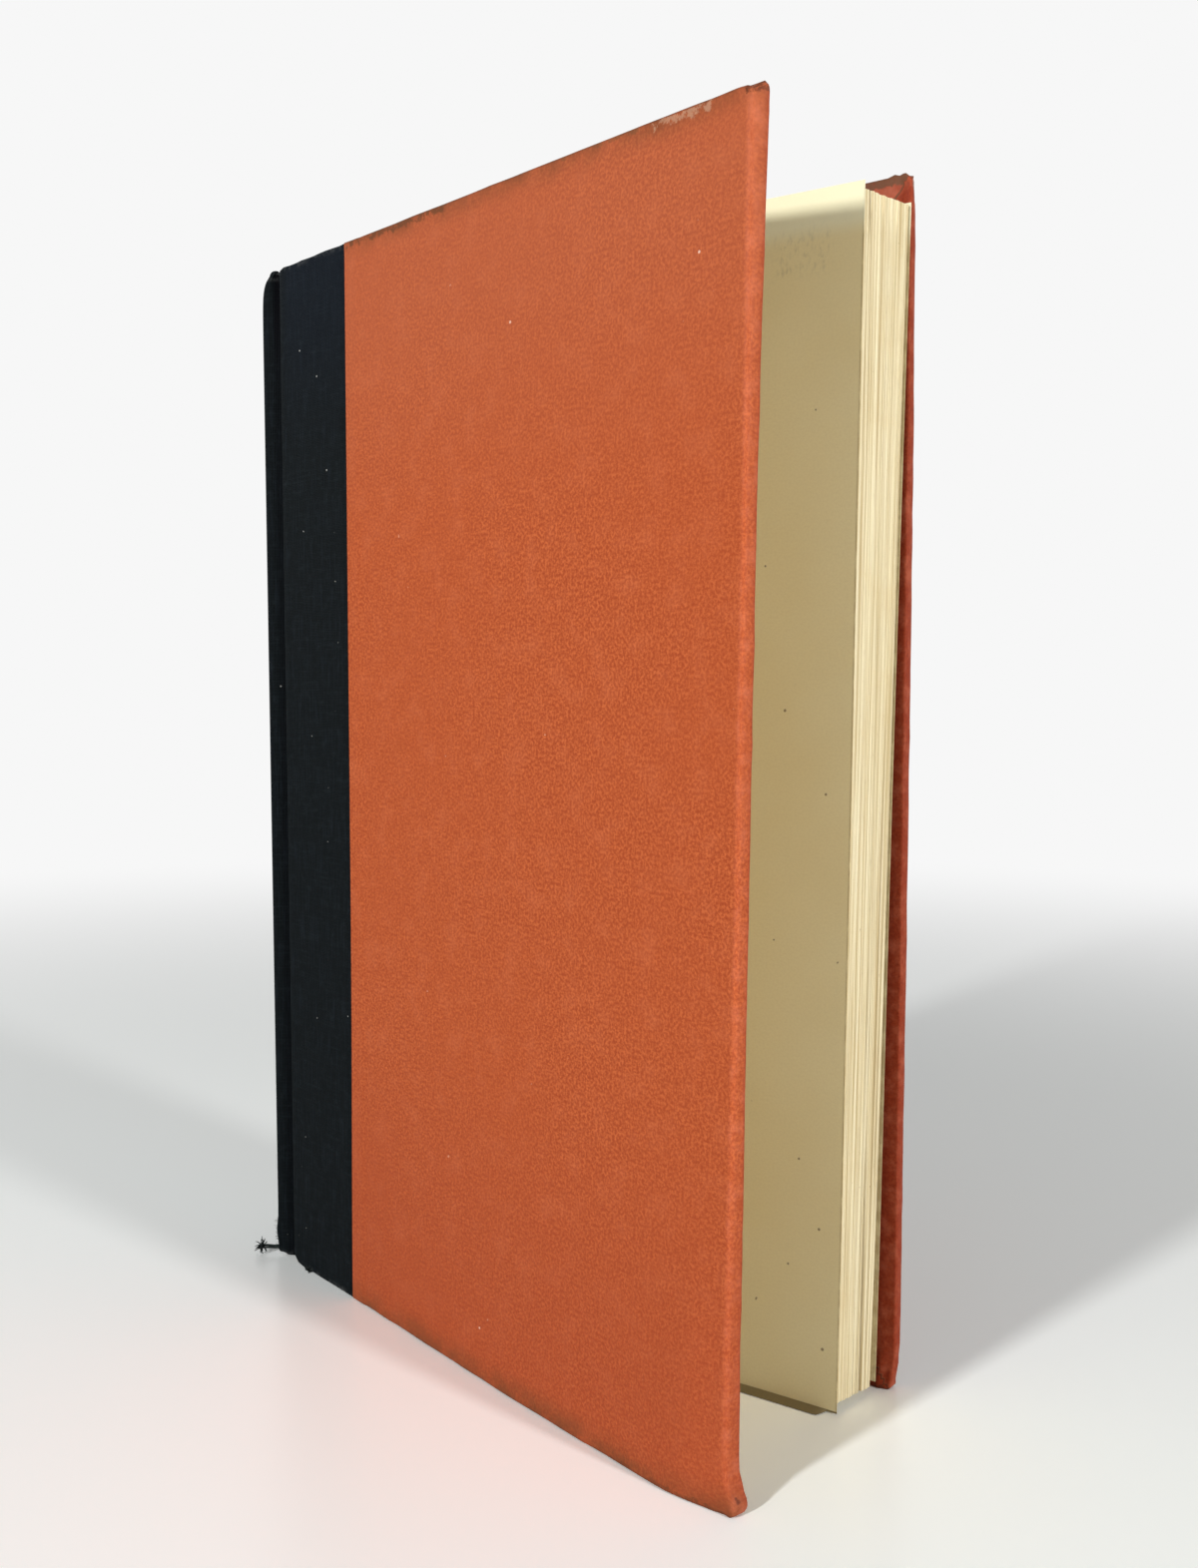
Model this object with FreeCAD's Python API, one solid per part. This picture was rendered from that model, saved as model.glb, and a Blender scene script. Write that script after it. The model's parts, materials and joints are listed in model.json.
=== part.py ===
import FreeCAD, Part
import math
import os

# A quarter-cloth hardback book that stands on its tail with the front cover ajar.
# Lengths are in millimetres. +Z runs up the spine from tail to head, and +X from the spine to the
# fore-edge. The front cover is on the -Y side. The origin is on the ground, at the bottom centre
# of the book's box as it stands.

# Covers
COVER_HEIGHT = 216.0
COVER_WIDTH = 137.0          # one covered board, from its spine edge to its fore-edge
BOARD_THICKNESS = 2.2
JOINT_WIDTH = 5.9            # from the hinge line to a board's spine edge
CLOTH_REACH = 25.8           # black cloth seen on each board
CLOTH_THICKNESS = 0.3
SIDING_THICKNESS = 0.2       # the coloured paper over the rest of the board
SIDING_OVERLAP = 4.0         # how far the paper laps over the cloth
OVERLAP_SLOPE = 1.2          # length over which the lapped paper comes down to the board
FOLD_THICKNESS = 0.4         # a covering where it folds round a board's edge
TURN_IN_THICKNESS = 0.2
TURN_IN = 15.0               # covering folded onto a board's inner face
EDGE_ROUND = 0.8
CORNER_ROUND = 1.6           # rubbed fore corners, seen square to the board

# Lining of the covers
MULL_REACH = 24.0            # gauze glued onto each board
PASTEDOWN_THICKNESS = 0.15
PASTEDOWN_MARGIN = 3.0       # turned-in covering left showing round the pastedown
PASTEDOWN_STEP = 0.6         # where the pastedown comes down off the turn-ins
FOLD_START = 1.2             # from the hinge line to the pastedown's fold

# Leaves
BLOCK_THICKNESS = 10.6
HEAD_SQUARE = 4.8
TAIL_SQUARE = 1.7            # the leaves have sagged, so the tail square is the smaller one
FORE_SQUARE = 4.5
FORE_SLANT = 2.4             # the back leaves stand out past the front ones
FRONT_LEAN = 0.9             # the fore-edge leans out by this at the head and in at the tail
BACK_LEAN = 1.7
LEAF_THICKNESS = 0.2
FLYLEAF_HEAD = 3.5           # from the head of the covers to the head of the front flyleaf
FLYLEAF_TAIL = 0.3           # the front flyleaf hangs lower than the leaves
FLYLEAF_GUTTER = 2.5         # from the hinge line to the flyleaf's pasted edge
COVER_GAP = 0.5              # between a closed cover and the flyleaf that it lies on

# Spine
SPINE_RISE = 2.8
INLAY_THICKNESS = 0.9
INLAY_INSET = 1.3            # the card is narrower than the spine by this much a side
SPINE_TAIL = 0.4             # the spine's cloth is a little shorter than the boards
SPINE_TURN_IN = 12.0
SPINE_TURN_IN_THICKNESS = 0.25
HOLLOW = 0.8                 # between the card and the paper on the leaves' back
LINING_THICKNESS = 0.2
LINING_INSET = 6.0
MULL_THICKNESS = 0.3
MULL_INSET = 14.0
BAND_WIDTH = 1.5
BAND_HEIGHT = 1.4
BAND_INSET = 0.4
BAND_ROUND = 0.6

# Hinge lines
HINGE_GAP = 0.15             # the hinge line lies this far outside the spine's side
FLAP_START = 0.5             # from the hinge line to the near edge of the joint's cloth
GROOVE_DEPTH = 1.5
GROOVE_SKIN = 0.3
OPEN_ANGLE = 14.0            # front cover at rest, in degrees from closed

# Depths below the outer face of a cover, in its own closed frame
CLOTH_TOP = SIDING_THICKNESS
BOARD_TOP = CLOTH_TOP + CLOTH_THICKNESS
SIDING_TOP = BOARD_TOP - SIDING_THICKNESS
BOARD_BOTTOM = BOARD_TOP + BOARD_THICKNESS
TURN_IN_BOTTOM = BOARD_BOTTOM + TURN_IN_THICKNESS
COVER_DEPTH = TURN_IN_BOTTOM + PASTEDOWN_THICKNESS

FORE_EDGE = JOINT_WIDTH + COVER_WIDTH
CLOTH_EDGE = JOINT_WIDTH + CLOTH_REACH
BLOCK_HALF = BLOCK_THICKNESS / 2
BLOCK_HEAD = COVER_HEIGHT - HEAD_SQUARE
HINGE_Y = BLOCK_HALF + LEAF_THICKNESS + COVER_GAP + COVER_DEPTH
OPEN = math.radians(OPEN_ANGLE)

# Rings of the spine, from the outside in, about one axis
SPINE_HALF = HINGE_Y - HINGE_GAP
SPINE_RADIUS = (SPINE_HALF ** 2 + SPINE_RISE ** 2) / (2 * SPINE_RISE)
SPINE_CENTRE = SPINE_RADIUS - SPINE_RISE - HINGE_GAP
INLAY_RADIUS = SPINE_RADIUS - CLOTH_THICKNESS
INLAY_INNER = INLAY_RADIUS - INLAY_THICKNESS
LINING_RADIUS = INLAY_INNER - HOLLOW
MULL_RADIUS = LINING_RADIUS - LINING_THICKNESS
BLOCK_RADIUS = MULL_RADIUS - MULL_THICKNESS

# The ground point under the middle of the book's box
RIM_U = FORE_EDGE - EDGE_ROUND
RIM_N = SIDING_TOP + EDGE_ROUND
FRONT_MOST = -HINGE_Y - RIM_U * math.sin(OPEN) + RIM_N * math.cos(OPEN) - EDGE_ROUND
MIDDLE_X = (SPINE_CENTRE - SPINE_RADIUS + FORE_EDGE) / 2
MIDDLE_Y = (FRONT_MOST + HINGE_Y) / 2

UP = FreeCAD.Vector(0, 0, 1)
NEARLY_NOTHING = 0.01        # lengths under this count as none when edges are picked


def point(x, y, z=0.0):
    return FreeCAD.Vector(x, y, z)


def block(x0, x1, y0, y1, z0, z1):
    return Part.makeBox(x1 - x0, y1 - y0, z1 - z0, point(x0, y0, z0))


def ring(outer, inner, half, z0, z1):
    """The stretch of a ring about the spine's axis that lies within half of the middle plane."""
    tube = Part.makeCylinder(outer, z1 - z0, point(SPINE_CENTRE, 0, z0))
    tube = tube.cut(Part.makeCylinder(inner, z1 - z0, point(SPINE_CENTRE, 0, z0)))
    return tube.common(block(SPINE_CENTRE - outer, SPINE_CENTRE, -half, half, z0, z1))


def flat(length):
    return length < NEARLY_NOTHING


def edges_along_depth(shape, x):
    """Straight edges at x that run through a cover's depth."""
    found = []
    for edge in shape.Edges:
        box = edge.BoundBox
        across = flat(box.XLength) and flat(box.ZLength) and not flat(box.YLength)
        if across and flat(abs(box.XMin - x)):
            found.append(edge)
    return found


def outer_rim_edges(shape, depth, fore):
    """Edges of a cover's outer face that lie at its head, its tail and, round to it, its fore-edge."""
    found = []
    for edge in shape.Edges:
        box = edge.BoundBox
        on_face = flat(box.YLength) and flat(abs(box.YMin - depth))
        if on_face and (flat(box.ZLength) or flat(abs(box.XMax - fore))):
            found.append(edge)
    return found


def soft_panel(x0, x1, y0, y1, inset):
    """A cover's panel with rubbed fore corners and a rounded outer rim."""
    panel = block(x0, x1 - inset, y0, y1, inset, COVER_HEIGHT - inset)
    panel = panel.makeFillet(CORNER_ROUND - inset, edges_along_depth(panel, x1 - inset))
    return panel.makeFillet(EDGE_ROUND - inset, outer_rim_edges(panel, y0, x1 - inset))


# A cover, closed, with its hinge line at the origin and +Y running into the book

def cover_board():
    return soft_panel(JOINT_WIDTH, FORE_EDGE, BOARD_TOP, BOARD_BOTTOM, FOLD_THICKNESS)


def joint_groove():
    """The cloth between the spine's side and the board, pressed in as a shallow channel."""
    chord = JOINT_WIDTH - FLAP_START
    radius = (chord ** 2 / 4 + GROOVE_DEPTH ** 2) / (2 * GROOVE_DEPTH)
    middle = FLAP_START + chord / 2
    centre = CLOTH_TOP + GROOVE_DEPTH - radius
    base = point(middle, centre, 0)
    skin = Part.makeCylinder(radius + GROOVE_SKIN, COVER_HEIGHT, base)
    skin = skin.cut(Part.makeCylinder(radius, COVER_HEIGHT, base))
    window = block(FLAP_START, JOINT_WIDTH + GROOVE_SKIN, CLOTH_TOP, COVER_DEPTH, 0, COVER_HEIGHT)
    return skin.common(window)


def cover_cloth(board):
    under_paper = CLOTH_EDGE + SIDING_OVERLAP
    cloth = block(JOINT_WIDTH, under_paper, CLOTH_TOP, BOARD_TOP + EDGE_ROUND, 0, COVER_HEIGHT)
    cloth = cloth.makeFillet(EDGE_ROUND, outer_rim_edges(cloth, CLOTH_TOP, FORE_EDGE))
    sides = block(JOINT_WIDTH, CLOTH_EDGE, BOARD_TOP, TURN_IN_BOTTOM, 0, COVER_HEIGHT)
    cloth = cloth.common(block(JOINT_WIDTH, under_paper, CLOTH_TOP, BOARD_TOP, 0, COVER_HEIGHT))
    cloth = cloth.fuse(sides).fuse(joint_groove()).cut(board)
    window = block(0, CLOTH_EDGE, BOARD_BOTTOM, COVER_DEPTH, TURN_IN, COVER_HEIGHT - TURN_IN)
    return cloth.cut(window).removeSplitter()


def cover_siding(board, cloth):
    panel = soft_panel(CLOTH_EDGE, FORE_EDGE, SIDING_TOP, TURN_IN_BOTTOM, 0.0)
    lap_end = CLOTH_EDGE + SIDING_OVERLAP
    outline = [point(CLOTH_EDGE, 0), point(lap_end, 0), point(lap_end + OVERLAP_SLOPE, SIDING_TOP)]
    outline += [point(lap_end + OVERLAP_SLOPE, BOARD_TOP), point(CLOTH_EDGE, BOARD_TOP), point(CLOTH_EDGE, 0)]
    lap = Part.Face(Part.makePolygon(outline)).extrude(UP * COVER_HEIGHT)
    lap = lap.common(block(0, FORE_EDGE, 0, BOARD_TOP, EDGE_ROUND, COVER_HEIGHT - EDGE_ROUND))
    inner_edge = FORE_EDGE - TURN_IN
    window = block(0, inner_edge, BOARD_BOTTOM, COVER_DEPTH, TURN_IN, COVER_HEIGHT - TURN_IN)
    return panel.fuse(lap).cut(board).cut(cloth).cut(window).removeSplitter()


def cover_mull():
    low = MULL_INSET + TURN_IN
    return block(JOINT_WIDTH, JOINT_WIDTH + MULL_REACH, BOARD_BOTTOM, TURN_IN_BOTTOM, low, COVER_HEIGHT - low)


def cover_pastedown(cloth, siding, mull):
    low = PASTEDOWN_MARGIN
    high = COVER_HEIGHT - PASTEDOWN_MARGIN
    fore = FORE_EDGE - PASTEDOWN_MARGIN
    sheet = block(JOINT_WIDTH, fore, BOARD_BOTTOM, COVER_DEPTH, low, high)
    left = JOINT_WIDTH + MULL_REACH + PASTEDOWN_STEP
    right = FORE_EDGE - TURN_IN - PASTEDOWN_STEP
    inset = TURN_IN + PASTEDOWN_STEP
    hollow_top = BOARD_BOTTOM + PASTEDOWN_THICKNESS
    hollow = block(left, right, hollow_top, COVER_DEPTH, inset, COVER_HEIGHT - inset)
    fold = block(FOLD_START, JOINT_WIDTH, TURN_IN_BOTTOM, COVER_DEPTH, low, high)
    return sheet.cut(hollow).cut(cloth).cut(siding).cut(mull).fuse(fold).removeSplitter()


def cover_pieces():
    board = cover_board()
    cloth = cover_cloth(board)
    siding = cover_siding(board, cloth)
    mull = cover_mull()
    pastedown = cover_pastedown(cloth, siding, mull)
    return {"board": board, "cloth": cloth, "cover_paper": siding, "mull_flap": mull, "pastedown": pastedown}


def placed_front(shape):
    turned = shape.copy()
    turned.rotate(point(0, 0), UP, -OPEN_ANGLE)
    turned.translate(point(0, -HINGE_Y))
    return turned


def placed_back(shape):
    flipped = shape.mirror(point(0, 0), point(0, 1, 0))
    flipped.translate(point(0, HINGE_Y))
    return flipped


# The leaves and what is glued to their back

def block_outline(lean, z):
    """The leaves' outline at one height: a round back, two flat sides and a straight fore-edge."""
    half = BLOCK_HALF
    x_front = FORE_EDGE - FORE_SQUARE + lean * FRONT_LEAN
    x_back = FORE_EDGE - FORE_SQUARE + FORE_SLANT + lean * BACK_LEAN
    corner = SPINE_CENTRE - math.sqrt(BLOCK_RADIUS ** 2 - half ** 2)
    crown = point(SPINE_CENTRE - BLOCK_RADIUS, 0, z)
    back = Part.Arc(point(corner, half, z), crown, point(corner, -half, z)).toShape()
    front_side = Part.makeLine(point(corner, -half, z), point(x_front, -half, z))
    fore = Part.makeLine(point(x_front, -half, z), point(x_back, half, z))
    back_side = Part.makeLine(point(x_back, half, z), point(corner, half, z))
    return Part.Wire([back, front_side, fore, back_side])


def page_block():
    return Part.makeLoft([block_outline(-1, TAIL_SQUARE), block_outline(1, BLOCK_HEAD)], True, True)


def flyleaf(side, fore, lean, low, high):
    """A thin leaf against one side of the block, leaning as the block's fore-edge does."""
    y = min(side * BLOCK_HALF, side * (BLOCK_HALF + LEAF_THICKNESS))
    corners = [point(FLYLEAF_GUTTER, y, low), point(fore - lean, y, low), point(fore + lean, y, high)]
    corners += [point(FLYLEAF_GUTTER, y, high), point(FLYLEAF_GUTTER, y, low)]
    return Part.Face(Part.makePolygon(corners)).extrude(point(0, LEAF_THICKNESS))


def spine_inlay():
    low = SPINE_TAIL + FOLD_THICKNESS
    return ring(INLAY_RADIUS, INLAY_INNER, SPINE_HALF - INLAY_INSET, low, COVER_HEIGHT - low)


def spine_cloth(inlay):
    """The cloth over the card, folded round its head and tail."""
    low = SPINE_TAIL
    high = COVER_HEIGHT - SPINE_TAIL
    outside = ring(SPINE_RADIUS, INLAY_RADIUS, SPINE_HALF, low, high)
    narrow = SPINE_HALF - INLAY_INSET
    folded = ring(SPINE_RADIUS, INLAY_INNER - SPINE_TURN_IN_THICKNESS, narrow, low, high)
    inside = INLAY_INNER
    middle = ring(inside, inside - HOLLOW, SPINE_HALF, low + SPINE_TURN_IN, high - SPINE_TURN_IN)
    return outside.fuse(folded).cut(inlay).cut(middle).removeSplitter()


def head_band(z, top):
    """A rolled band on the leaves' end, beside the round back."""
    band = ring(BLOCK_RADIUS, BLOCK_RADIUS - BAND_WIDTH, BLOCK_HALF - BAND_INSET, z, z + BAND_HEIGHT)
    level = z + BAND_HEIGHT if top else z
    rim = []
    for edge in band.Edges:
        box = edge.BoundBox
        if flat(box.ZLength) and flat(abs(box.ZMin - level)) and box.YLength > BLOCK_HALF:
            rim.append(edge)
    return band.makeFillet(BAND_ROUND, rim)


def back_lining(outer, inner, inset):
    return ring(outer, inner, BLOCK_HALF - BAND_INSET, TAIL_SQUARE + inset, BLOCK_HEAD - inset)


def text_pieces():
    inlay = spine_inlay()
    fore = FORE_EDGE - FORE_SQUARE
    return {
        "page_block": page_block(),
        "front_free_endpaper": flyleaf(-1, fore, FRONT_LEAN, FLYLEAF_TAIL, COVER_HEIGHT - FLYLEAF_HEAD),
        "back_free_endpaper": flyleaf(1, fore + FORE_SLANT, BACK_LEAN, TAIL_SQUARE, BLOCK_HEAD),
        "spine_mull": back_lining(MULL_RADIUS, BLOCK_RADIUS, MULL_INSET),
        "spine_lining": back_lining(LINING_RADIUS, MULL_RADIUS, LINING_INSET + MULL_INSET),
        "head_band": head_band(BLOCK_HEAD, True),
        "tail_band": head_band(TAIL_SQUARE - BAND_HEIGHT, False),
        "spine_inlay": inlay,
        "spine_cloth": spine_cloth(inlay),
    }


def model():
    pieces = text_pieces()
    for name, shape in cover_pieces().items():
        pieces["front_" + name] = placed_front(shape)
        pieces["back_" + name] = placed_back(shape)
    for shape in pieces.values():
        shape.translate(point(-MIDDLE_X, -MIDDLE_Y))
    return pieces


def main():
    os.makedirs("parts", exist_ok=True)
    for name, shape in model().items():
        shape.exportStep("parts/" + name + ".step")
        print(name, shape.ShapeType, len(shape.Solids), round(shape.Volume, 2), shape.isValid())


main()
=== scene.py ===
import json
import math

import bpy
import numpy as np
from mathutils import Matrix, Vector


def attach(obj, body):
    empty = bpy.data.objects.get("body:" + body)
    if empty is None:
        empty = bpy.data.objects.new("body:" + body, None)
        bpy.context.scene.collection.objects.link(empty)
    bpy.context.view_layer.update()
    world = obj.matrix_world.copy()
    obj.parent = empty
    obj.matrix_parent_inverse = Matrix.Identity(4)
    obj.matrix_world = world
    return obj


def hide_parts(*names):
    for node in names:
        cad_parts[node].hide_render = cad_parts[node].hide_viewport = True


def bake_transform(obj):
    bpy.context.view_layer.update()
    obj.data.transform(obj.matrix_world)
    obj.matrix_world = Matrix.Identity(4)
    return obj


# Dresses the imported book. Sizes below are in millimetres, as in the part's source, and MM turns
# them into Blender's metres. A cover is built closed, in its own frame: u runs from the hinge line
# to the fore-edge, n from the cover's outer face into the book, and z up.

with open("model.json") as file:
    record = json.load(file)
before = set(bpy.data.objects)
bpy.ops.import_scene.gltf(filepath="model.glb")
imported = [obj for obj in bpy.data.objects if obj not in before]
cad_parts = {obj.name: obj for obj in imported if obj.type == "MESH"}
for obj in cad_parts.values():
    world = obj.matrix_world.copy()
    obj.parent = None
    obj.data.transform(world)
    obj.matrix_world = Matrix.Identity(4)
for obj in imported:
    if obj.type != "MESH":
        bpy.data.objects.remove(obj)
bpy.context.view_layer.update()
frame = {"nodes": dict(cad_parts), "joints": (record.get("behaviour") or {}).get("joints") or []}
MM = 0.001
joints = {joint["name"]: joint for joint in frame["joints"]}

# Covers
HEIGHT = 216.0
JOINT = 5.9                    # the board's inner edge
FORE = 142.9                   # the cover's fore-edge
CLOTH_EDGE = 32.0              # where the cover paper starts on the cloth
LAP = 4.0                      # how far the cloth goes on under the paper
LAP_SLOPE = 1.2
OPEN = math.radians(14.0)
CLOTH_N = 0.1
PAPER_N = 0.08
BOARD_N = 0.5
INNER_N = 2.9                  # the turned-in paper's inner face
TUCK = 0.35                    # how far the cloth's head and tail stop inside the paper over them
EDGE_ROUND = 0.45
CORNER_ROUND = 1.6             # the boards' head corners, seen square to the board
TAIL_ROUND = {"front": 0.8, "back": 1.0}
CORE_TAIL_ROUND = 9.0          # the grey board stops well inside the bumped tail corners
PASTE_MARGIN = 3.0
TURN_IN = 15.0
RIDGE = 0.8                    # how far the pastedown slopes down from the turn-ins' edge
FOLD_X = 4.0                   # the endpaper's fold on the leaves, from the hinge line
FOLD_U = -2.2                  # the same fold on the flat endpaper
MULL_EDGE = 29.9
MULL_END = 29.0                # the gauze stops this far from the head and the tail
FRONT_TWIST = 0.0214           # radians from tail to head, the head end nearer the leaves
FRONT_SWELL = 0.7              # how far its inner face swells at the fore corners
FRONT_RISE = 0.62              # how far its head edge has crept up
FRONT_BELLY = 2.3              # how far its tail edge bellies out between the joint and the fore corner
BACK_TWIST = 0.0156            # radians, the tail corner standing off the leaves
BACK_OPEN = 0.0050             # radians
BOARD_BOTTOM = 2.7

# Joints and spine
SPINE_HALF = 8.9
SPINE_RISE = 2.8
HINGE_GAP = 0.15
EASE_FROM = 0.2                # where the cloth starts to turn with the open front cover
SPINE_PROUD = 0.5              # how far the spine's head stands above the boards
INLAY_INSET = 1.3
INLAY_SHORT = 9.0
SHOULDER_N = 0.9               # the spine turns over into the joint this far in from its edge
GROOVE_FROM = 12.2             # where the groove and its painted shade lie on the flat cloth, from the spine's middle
GROOVE_TO = 15.8

# Leaves
BLOCK_HALF = 5.3
LEAF = 0.2
FORE_SQUARE = 4.5
SLANT = 2.4                    # how much further the last leaf reaches than the first
FRONT_LEAN = 0.9               # how far the fore-edge leans out at the head, and in at the tail
BACK_LEAN = 1.7
HEAD_SQUARE = 4.8
TAIL_SQUARE = 1.7
FLY_HEAD = 3.5
FLY_TAIL = 0.3
FLY_GUTTER = 2.5
FOOT_FOLD = 2.3                # the front flyleaf's tail is creased forward by this much, into a flap darkened with painted shade

FRONT_HINGE = Vector(joints["front_joint"]["pos_m"]) / MM
BACK_HINGE = Vector(joints["back_joint"]["pos_m"]) / MM
MIDDLE_Y = (FRONT_HINGE.y + BACK_HINGE.y) / 2
HINGE_X = FRONT_HINGE.x
FOLD_Y = {"front": MIDDLE_Y - BLOCK_HALF - 0.16, "back": MIDDLE_Y + BLOCK_HALF + LEAF}

# Openings between leaves at the fore-edge: place through the thickness from 0 to 1, half width, depth
# in millimetres, and the heights between which each opens
LEAF_GAPS = (
    (0.70, 0.022, 3.0, 62.0, 2.0),
    (0.655, 0.008, 1.6, 120.0, 20.0),
    (0.13, 0.012, 2.4, 203.0, 212.0),
    (0.30, 0.004, 0.6, 30.0, 5.0),
    (0.47, 0.004, 0.6, 150.0, 40.0),
    (0.58, 0.004, 0.5, 170.0, 120.0),
    (0.83, 0.005, 0.7, 160.0, 40.0),
    (0.93, 0.006, 0.8, 120.0, 60.0),
)


# Mesh helpers

LAYERS = np.array([0, 1])      # the two faces of a sheet


def lattice(us, vs, ws):
    """The surface points of a box-shaped lattice with these levels, as three arrays, and their quads."""
    keep = np.zeros((len(us), len(vs), len(ws)), bool)
    keep[[0, -1]] = True
    keep[:, [0, -1]] = True
    keep[:, :, [0, -1]] = True
    index = np.zeros(keep.shape, int)
    index[keep] = np.arange(keep.sum())
    quads = []
    for axis in range(3):
        for side in (0, -1):
            plane = np.take(index, side, axis=axis)
            quad = np.stack([plane[:-1, :-1], plane[1:, :-1], plane[1:, 1:], plane[:-1, 1:]], -1)
            quad = quad.reshape(-1, 4)
            flip = (side == 0) != (axis == 1)
            quads.append(quad[:, ::-1] if flip else quad)
    i, j, k = np.nonzero(keep)
    return us[i], vs[j], ws[k], np.concatenate(quads)


def add_object(name, data):
    obj = bpy.data.objects.new(name, data)
    bpy.context.scene.collection.objects.link(obj)
    return obj


def make_mesh(name, points, quads, uv, side="front", sharp=50):
    """A mesh from points in millimetres, for side or its mirror image. uv is kept in metres for materials."""
    faces = quads[:, ::-1] if side == "back" else quads
    mesh = bpy.data.meshes.new(name)
    mesh.from_pydata((points * MM).tolist(), [], faces.tolist())
    layer = mesh.uv_layers.new(name="flat")
    loops = np.zeros(len(mesh.loops), int)
    mesh.loops.foreach_get("vertex_index", loops)
    layer.data.foreach_set("uv", (uv[loops] * MM).astype(np.float32).ravel())
    mesh.validate()
    mesh.shade_smooth()
    mesh.set_sharp_from_angle(angle=math.radians(sharp))
    return add_object(name, mesh)


def spaced(low, high, step, rim, grow=1.35):
    """Levels from low to high: fine over the rim at each end, then growing up to step."""
    fine = 3
    near = [rim * i / fine for i in range(fine + 1)]
    gap = rim / fine
    while near[-1] + gap < (high - low) / 2 and gap < step:
        gap *= grow
        near.append(near[-1] + gap)
    near = [d for d in near if d < (high - low) / 2 - gap / 2]
    rest = (high - low) - 2 * near[-1]
    count = max(1, int(round(rest / max(gap, 1e-6))))
    middle = [near[-1] + rest * i / count for i in range(1, count)]
    levels = near + middle + [high - low - d for d in reversed(near)]
    return low + np.array(levels)


def smooth(a, b, x):
    """0 at a and 1 at b, eased between and level beyond them."""
    t = np.clip((x - a) / (b - a), 0, 1)
    return t * t * (3 - 2 * t)


def bump_at(p, centre, radius):
    """1 at centre, falling to 0 about a radius away. p is n points by any number of coordinates."""
    d2 = sum(((p[:, i] - c) / r) ** 2 for i, (c, r) in enumerate(zip(centre, radius)))
    return np.exp(-d2)


class Grain:
    """Smooth seeded value noise in one or two dimensions."""

    def __init__(self, seed, size=256):
        self.table = np.random.default_rng(seed).uniform(-1, 1, (size, size))
        self.size = size

    def __call__(self, a, b):
        a, b = np.broadcast_arrays(np.asarray(a, float), np.asarray(b, float))
        i, j = np.floor(a).astype(int), np.floor(b).astype(int)
        fa, fb = a - i, b - j
        fa, fb = fa * fa * (3 - 2 * fa), fb * fb * (3 - 2 * fb)
        t, n = self.table, self.size
        low = t[i % n, j % n] * (1 - fa) + t[(i + 1) % n, j % n] * fa
        high = t[i % n, (j + 1) % n] * (1 - fa) + t[(i + 1) % n, (j + 1) % n] * fa
        return low * (1 - fb) + high * fb


# Cover frames

def front_warp(u, n, z):
    """The front board is twisted, its fore corners curl in and its tail edge bellies out."""
    out = np.maximum(u, 0)
    swell = FRONT_SWELL * np.abs(2 * z / HEIGHT - 1) ** 2.5 * smooth(0.8, 2.6, n) + 0.15
    belly = FRONT_BELLY * smooth(0, 112, out) * (1 - smooth(131, FORE + 3, out)) * np.exp(-(z / 48) ** 2)
    return n + FRONT_TWIST * (z / HEIGHT - 0.5) * out + swell * (out / FORE) ** 6 - belly


def front_rise(u, z):
    """How far the front board's head edge stands above its nominal height."""
    return FRONT_RISE * smooth(HEIGHT * 0.7, HEIGHT, z) * smooth(JOINT - 3, JOINT, u)


def back_warp(u, n, z):
    """The back board is twisted too: its tail stands off the leaves and its head leans on them."""
    out = np.maximum(u, 0)
    bow = 0.35 * (1 - (2 * z / HEIGHT - 1) ** 2) * (out / FORE) ** 3
    return n - (BACK_OPEN - BACK_TWIST * (z / HEIGHT - 0.5)) * out - bow


def to_front(p):
    u, n, z = p.T
    n = front_warp(u, n, z)
    z = z + front_rise(u, z)
    x = HINGE_X + u * math.cos(OPEN) + n * math.sin(OPEN)
    y = FRONT_HINGE.y - u * math.sin(OPEN) + n * math.cos(OPEN)
    return np.stack([x, y, z], 1)


def to_back(p):
    u, n, z = p.T
    return np.stack([HINGE_X + u, BACK_HINGE.y - back_warp(u, n, z), z], 1)


def to_cover(p, side):
    return to_front(p) if side == "front" else to_back(p)


def round_box(q, low, high, radius):
    """Rounds the edges of a box whose surface the points lie on."""
    core = np.clip(q, np.array(low) + radius, np.array(high) - radius)
    delta = q - core
    length = np.linalg.norm(delta, axis=1, keepdims=True)
    return core + delta / np.maximum(length, 1e-9) * radius


def round_corner(p, u_corner, z_corner, z_sign, radius):
    """Rounds one fore corner, seen square to the board."""
    a = (p[:, 0] - (u_corner - radius)) / radius
    b = z_sign * (p[:, 2] - (z_corner - z_sign * radius)) / radius
    inside = (a > 0) & (b > 0)
    scale = np.where(inside, np.maximum(a, b) / np.maximum(np.hypot(a, b), 1e-9), 1.0)
    out = p.copy()
    out[:, 0] = np.where(inside, u_corner - radius + a * scale * radius, p[:, 0])
    out[:, 2] = np.where(inside, z_corner - z_sign * radius + z_sign * b * scale * radius, p[:, 2])
    return out


# Pieces

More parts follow.
